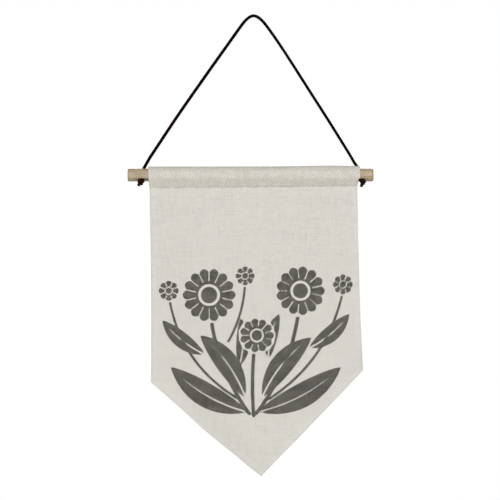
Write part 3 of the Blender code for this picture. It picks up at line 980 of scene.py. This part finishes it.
# The weave's tone, its painted gap shade with it, is drawn stronger on the pocket than on the
# panel, and stronger on inked weave.
POCKET_CONTRAST = 1.1
INK_CONTRAST = 7.8
INK_SLUB_CONTRAST = 3.0
NATURAL = ((0.650, 0.635, 0.603), (0.680, 0.648, 0.585))
POCKET_COLOUR = (0.650, 0.618, 0.555)
INK_COLOUR = (0.118, 0.110, 0.0975)
# The ink's edge: how far in it lies, how far it frays, and its soft width, in mm.
INK_INSET, INK_FRAY, INK_SOFTNESS = 0.35, 0.7, (-0.3, 0.4)
# Sewn rows: their distance in from the hems' folds, the seam's height and how far it wanders, where
# their grooves fade out, and the scales of the seam's broken marks of painted shade.
STITCH_LINE = 6.2
SEAM_ROW, SEAM_WANDER = 1.8, 2.4
HEM_GROOVE, SEAM_GROOVE = (0.1, 0.9), (0.1, 1.1)
SEAM_DASHES = (150.0, 500.0, 1.0)
# Shares of the tone gained, and lost to painted shade in the grooves, and depths of the grooves
# beside the weave's own height of 1.
HEM_LIGHTER = 0.024
HEM_ROW_PAINTED_SHADE = 0.015
SEAM_PAINTED_SHADE = 0.27
HEM_ROW_DEPTH = 0.8
SEAM_DEPTH = 1.2


def plain_weave(tree, flat):
    """Plain weave at flat places: its height, its tone and its slubs.

    The height goes from 0 in the gaps to 1 on the crowns. The tone is about 0: each thread has its
    own, which changes along it as the yarn is spun, and painted shade darkens the gaps. The slubs
    are the thicker lengths of a few threads, from 0 to 1.
    """
    place = node(tree, "ShaderNodeSeparateXYZ", inputs={0: flat})
    wander = node(tree, "ShaderNodeTexNoise", inputs={0: flat, "Scale": 130.0, "Detail": 1.0})
    drift = node(tree, "ShaderNodeSeparateColor", inputs={0: wander.outputs["Color"]})
    waves, numbers, yarns, slubs = [], [], [], []
    for axis, pitch in enumerate(THREAD_PITCH):
        turns = maths(tree, "DIVIDE", place.outputs[axis], pitch * MM)
        turns = maths(tree, "MULTIPLY_ADD", drift.outputs[axis], THREAD_WANDER, turns)
        waves.append(maths(tree, "SINE", maths(tree, "MULTIPLY", turns, math.pi)))
        numbers.append(maths(tree, "FLOOR", turns))
        number = maths(tree, "MULTIPLY", numbers[axis], 7.31)
        along = maths(tree, "MULTIPLY", place.outputs[1 - axis], YARN_CHANGE)
        yarn = node(tree, "ShaderNodeCombineXYZ", inputs={0: number, 1: along, 2: 3.7 * axis})
        yarns.append(noise(tree, yarn.outputs[0], 1.0))
        along = maths(tree, "MULTIPLY", place.outputs[1 - axis], SLUB_CHANGE)
        slub = node(tree, "ShaderNodeCombineXYZ", inputs={0: number, 1: along, 2: 9.1 + axis})
        slubs.append(ease(tree, noise(tree, slub.outputs[0], 1.0), *SLUB_RANGE, 0.0, 1.0))
    over = maths(tree, "MULTIPLY", waves[0], waves[1])
    # Whichever thread lies on top at a place gives the height there.
    lifts = []
    for wave, sign in zip(waves, (0.5, -0.5)):
        on_top = maths(tree, "MULTIPLY_ADD", over, sign, 0.5)
        lifts.append(maths(tree, "MULTIPLY", maths(tree, "ABSOLUTE", wave), on_top))
    height = maths(tree, "MAXIMUM", *lifts)
    crossing = node(tree, "ShaderNodeCombineXYZ", inputs={0: numbers[0], 1: numbers[1]})
    crown = node(
        tree,
        "ShaderNodeTexWhiteNoise",
        noise_dimensions="2D",
        inputs={"Vector": crossing.outputs[0]},
    ).outputs["Value"]
    tone = maths(tree, "MULTIPLY_ADD", maths(tree, "ADD", *yarns), YARN_TONE, -YARN_TONE)
    tone = maths(tree, "SUBTRACT", tone, 0.5 * RISE_TONE)
    tone = maths(tree, "MULTIPLY_ADD", crown, RISE_TONE, tone)
    tightness = maths(tree, "MULTIPLY_ADD", drift.outputs[2], 0.9, 0.55)
    face = ease(tree, over, -0.45, 0.45, -1.0, 1.0)
    tone = maths(tree, "MULTIPLY_ADD", face, maths(tree, "MULTIPLY", tightness, OVER_TONE), tone)
    painted_gap_shade = maths(tree, "POWER", height, 0.7)
    painted_gap_shade = maths(tree, "MULTIPLY_ADD", painted_gap_shade, HOLLOW_PAINTED_SHADE, -0.6 * HOLLOW_PAINTED_SHADE)
    return height, maths(tree, "ADD", tone, painted_gap_shade), maths(tree, "ADD", *slubs)


def from_mesh(tree, layer):
    """Output of a value that the mesh holds at each place."""
    return node(tree, "ShaderNodeAttribute", attribute_name=layer).outputs["Fac"]


def canvas_finish(name, inked):
    """Plain weave in off-white thread, with slubs; on the printed side, dull dark grey ink."""
    material, tree, shader = new_finish(name)
    flat = node(tree, "ShaderNodeUVMap", uv_map="cloth").outputs[0]
    plies, from_edge, from_seam = (
        from_mesh(tree, layer) for layer in ("plies", "from_edge", "from_seam")
    )
    height, tone, slubs = plain_weave(tree, flat)
    natural = blend(tree, noise(tree, flat, 420.0), *NATURAL)
    base = blend(tree, plies, natural, POCKET_COLOUR)
    contrast = maths(tree, "MULTIPLY_ADD", plies, POCKET_CONTRAST, 1.0)
    slub_contrast = maths(tree, "SUBTRACT", 1.0, plies)
    if inked:
        edge = maths(tree, "SUBTRACT", from_mesh(tree, "ink"), INK_INSET)
        edge = maths(tree, "MULTIPLY_ADD", noise(tree, flat, 900.0), INK_FRAY, edge)
        cover = ease(tree, edge, *INK_SOFTNESS, 0.0, 1.0)
        base = blend(tree, cover, base, INK_COLOUR)
        contrast = maths(tree, "MULTIPLY_ADD", cover, INK_CONTRAST, contrast)
        slub_contrast = maths(tree, "MULTIPLY_ADD", cover, INK_SLUB_CONTRAST, slub_contrast)
    # The stitched rows pull the cloth into grooves, and painted shade darkens it there a little,
    # unevenly along the seam.
    hem_row = maths(tree, "ABSOLUTE", maths(tree, "SUBTRACT", from_edge, STITCH_LINE))
    hem_groove = ease(tree, hem_row, *HEM_GROOVE, 1.0, 0.0)
    seam_row = maths(tree, "SUBTRACT", from_seam, SEAM_ROW)
    seam_row = maths(tree, "MULTIPLY_ADD", noise(tree, flat, 260.0), SEAM_WANDER, seam_row)
    seam_groove = ease(tree, maths(tree, "ABSOLUTE", seam_row), *SEAM_GROOVE, 1.0, 0.0)
    dashes = noise(tree, stretch(tree, flat, SEAM_DASHES), 1.0)
    held = {0: dashes, 1: 0.4, 2: 0.58, 3: 0.1, 4: 1.0}
    dash = node(tree, "ShaderNodeMapRange", inputs=held).outputs[0]
    # Three layers of thin cloth let less light through than one, so the hems look a little paler.
    hem_pale = ease(tree, from_edge, HEM_WIDTH - 0.4, HEM_WIDTH + 0.6, HEM_LIGHTER, 0.0)
    shade = maths(tree, "MULTIPLY_ADD", tone, contrast, 1.0)
    slubs = maths(tree, "MULTIPLY", slubs, slub_contrast)
    shade = maths(tree, "MULTIPLY_ADD", slubs, -SLUB_TONE, shade)
    dashes = maths(tree, "MULTIPLY", seam_groove, dash)
    shade = maths(tree, "MULTIPLY_ADD", dashes, -SEAM_PAINTED_SHADE, shade)
    shade = maths(tree, "ADD", shade, hem_pale)
    shade = maths(tree, "MULTIPLY_ADD", hem_groove, -HEM_ROW_PAINTED_SHADE, shade)
    colour = blend(tree, 1.0, base, shade, "MULTIPLY")
    relief = maths(tree, "MULTIPLY_ADD", hem_groove, -HEM_ROW_DEPTH, height)
    relief = maths(tree, "MULTIPLY_ADD", seam_groove, -SEAM_DEPTH, relief)
    set_surface(tree, shader, colour, relief, relief=(0.5, 0.2), roughness=0.93, specular=0.15)
    return material


banner = finish_piece("canvas_banner", grid, canvas_finish("printed_canvas", True))
banner.data.materials.append(canvas_finish("canvas_back", False))
thickness = banner.modifiers.new("thickness", "SOLIDIFY")
thickness.thickness = CLOTH_THICKNESS * MM
thickness.offset = 0.0
thickness.use_even_offset = False
thickness.material_offset = 1
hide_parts("canvas")

# Lock stitches of off-white cotton: rows along the hems, seen on both faces, and one row that
# closes the pocket. Each stitch is a small drawn-out round sunk a little into the cloth.
STITCH_PITCH = 2.6
STITCH_LENGTH = 2.1
STITCH_WIDTH = 0.62
STITCH_SUNK = 0.1
STITCH_SIDES, STITCH_RINGS = 8, 6
# Places along each kind of row, where the rear side rows end, and how far in the seam's rows start.
SIDE_PLACES, LOWER_PLACES, SEAM_PLACES = 90, 60, 90
REAR_ROW_END = 0.97
SEAM_INSET = 0.012
PANEL_WIDTH = RIGHT_CORNER[0] - LEFT_CORNER[0]
SIDE_FRACTION = STITCH_LINE / PANEL_WIDTH


def sewn_row(mesh, line, behind):
    """Adds stitches along a line of (fraction, row) places, on the front or behind the hem."""
    places = []
    for fraction, row in line:
        middle, _ = cloth.place(fraction, row)
        out = cloth.outward(fraction, row)
        lift = 0.5 * CLOTH_THICKNESS - STITCH_SUNK
        places.append((middle - out * (HEM_STEP + lift) if behind else middle + out * lift, out))
    row_mesh = bmesh.new()
    marks = np.cumsum([0.0] + [(b[0] - a[0]).length for a, b in zip(places, places[1:])])
    count = int(marks[-1] / STITCH_PITCH)
    for number in range(count):
        at = (number + 0.5) * marks[-1] / count
        i = min(int(np.searchsorted(marks, at)), len(marks) - 1)
        part = (at - marks[i - 1]) / (marks[i] - marks[i - 1])
        here = places[i - 1][0].lerp(places[i][0], part)
        run = (places[i][0] - places[i - 1][0]).normalized()
        out = places[i][1]
        side = out.cross(run).normalized()
        turned = Matrix((run, side, run.cross(side))).transposed().to_4x4()
        size = Matrix.Diagonal((0.5 * STITCH_LENGTH, 0.5 * STITCH_WIDTH, 0.5 * STITCH_WIDTH, 1.0))
        bmesh.ops.create_uvsphere(
            row_mesh,
            u_segments=STITCH_SIDES,
            v_segments=STITCH_RINGS,
            radius=MM,
            matrix=Matrix.Translation(here * MM) @ turned @ size,
        )
    row_data = bpy.data.meshes.new("stitch_row")
    row_mesh.to_mesh(row_data)
    row_mesh.free()
    mesh.from_mesh(row_data)
    bpy.data.meshes.remove(row_data)


def thread_finish():
    """Cotton sewing thread, off-white, with its fine twist."""
    material, tree, shader = new_finish("sewing_thread")
    place = node(tree, "ShaderNodeTexCoord").outputs["Object"]
    held = {0: place, "Scale": 900.0, "Distortion": 1.0}
    twist = node(tree, "ShaderNodeTexWave", bands_direction="DIAGONAL", inputs=held).outputs["Fac"]
    colour = blend(tree, twist, (0.60, 0.58, 0.54), (0.74, 0.72, 0.68))
    set_surface(tree, shader, colour, twist, relief=(0.4, 0.05), roughness=0.7, specular=0.3)
    return material


def side_row(fraction, low, high):
    return [(fraction, row) for row in np.linspace(low, high, SIDE_PLACES)]


def lower_row(first, last):
    """Line inside the folded lower edge, from one fraction across to another."""
    line = []
    for fraction in np.linspace(first, last, LOWER_PLACES):
        line.append((fraction, STITCH_LINE / LOWER_EDGE_COSINE / panel_height(fraction)))
    return line


sewing = bmesh.new()
for fraction in (SIDE_FRACTION, 1.0 - SIDE_FRACTION):
    start = lower_row(fraction, fraction)[0][1]
    sewn_row(sewing, side_row(fraction, start, 2.0), behind=False)
    sewn_row(sewing, side_row(fraction, start, REAR_ROW_END), behind=True)
for first, last in ((SIDE_FRACTION, TIP_FRACTION), (TIP_FRACTION, 1.0 - SIDE_FRACTION)):
    for behind in (False, True):
        sewn_row(sewing, lower_row(first, last), behind)
seam_places = np.linspace(SEAM_INSET, 1.0 - SEAM_INSET, SEAM_PLACES)
sewn_row(sewing, [(fraction, 1.0) for fraction in seam_places], behind=False)
sewn_row(sewing, [(fraction, 2.02) for fraction in seam_places], behind=False)
stitches = finish_piece("hem_and_seam_stitches", sewing, thread_finish())
